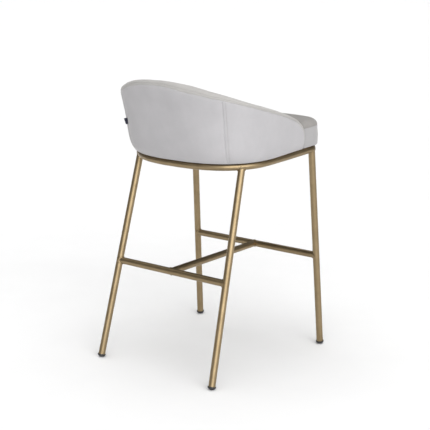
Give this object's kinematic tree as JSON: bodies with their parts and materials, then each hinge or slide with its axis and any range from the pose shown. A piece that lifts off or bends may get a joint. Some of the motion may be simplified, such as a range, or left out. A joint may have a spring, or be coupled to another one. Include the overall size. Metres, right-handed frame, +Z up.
{
  "type": "bar stool",
  "caption": "Bar-height stool: low upholstered tub seat with sloping arms on a splayed round-tube frame with an H-shaped footrest.",
  "frame": {"origin": "on the floor, midway between the four feet, under the middle of the stool", "axes": "+Z up; the front of the stool faces -Y; +X is the left of a person sitting on it"},
  "size_m": [0.5554, 0.5764, 0.9257],
  "materials": {
    "bronze_metal": "satin antique brass coating on steel tube",
    "upholstery": "short-pile light grey velvet",
    "foam": "cut polyurethane foam, hidden",
    "plywood": "raw birch plywood, hidden",
    "glide_plastic": "black moulded nylon",
    "zinc_steel": "zinc plated",
    "lining_black": "black non-woven dust cover",
    "label_cloth": "blank woven tab"
  },
  "bodies": {
    "root": {"back_foam": "foam", "back_lining": "upholstery", "back_shell": "plywood", "centre_rail": "bronze_metal", "centre_rail_welds": "bronze_metal", "dust_cover": "lining_black", "footrest_rail": "bronze_metal", "footrest_rail_welds": "bronze_metal", "glide_front_left": "glide_plastic", "glide_front_right": "glide_plastic", "glide_rear_left": "glide_plastic", "glide_rear_right": "glide_plastic", "label_tab": "label_cloth", "leg_front_left": "bronze_metal", "leg_front_right": "bronze_metal", "leg_rear_left": "bronze_metal", "leg_rear_right": "bronze_metal", "outer_back_panel": "upholstery", "outer_side_panel_left": "upholstery", "outer_side_panel_right": "upholstery", "rear_rail": "bronze_metal", "rear_rail_welds": "bronze_metal", "rim_border": "upholstery", "ring_welds": "bronze_metal", "seat_board": "plywood", "seat_boxing": "upholstery", "seat_bracket_front_left": "bronze_metal", "seat_bracket_front_right": "bronze_metal", "seat_bracket_rear_left": "bronze_metal", "seat_bracket_rear_right": "bronze_metal", "seat_foam": "foam", "seat_ring": "bronze_metal", "seat_screws": "zinc_steel", "seat_top_cover": "upholstery", "seat_washers": "zinc_steel", "shell_screws": "zinc_steel", "tee_nuts": "zinc_steel"}
  },
  "joints": []
}
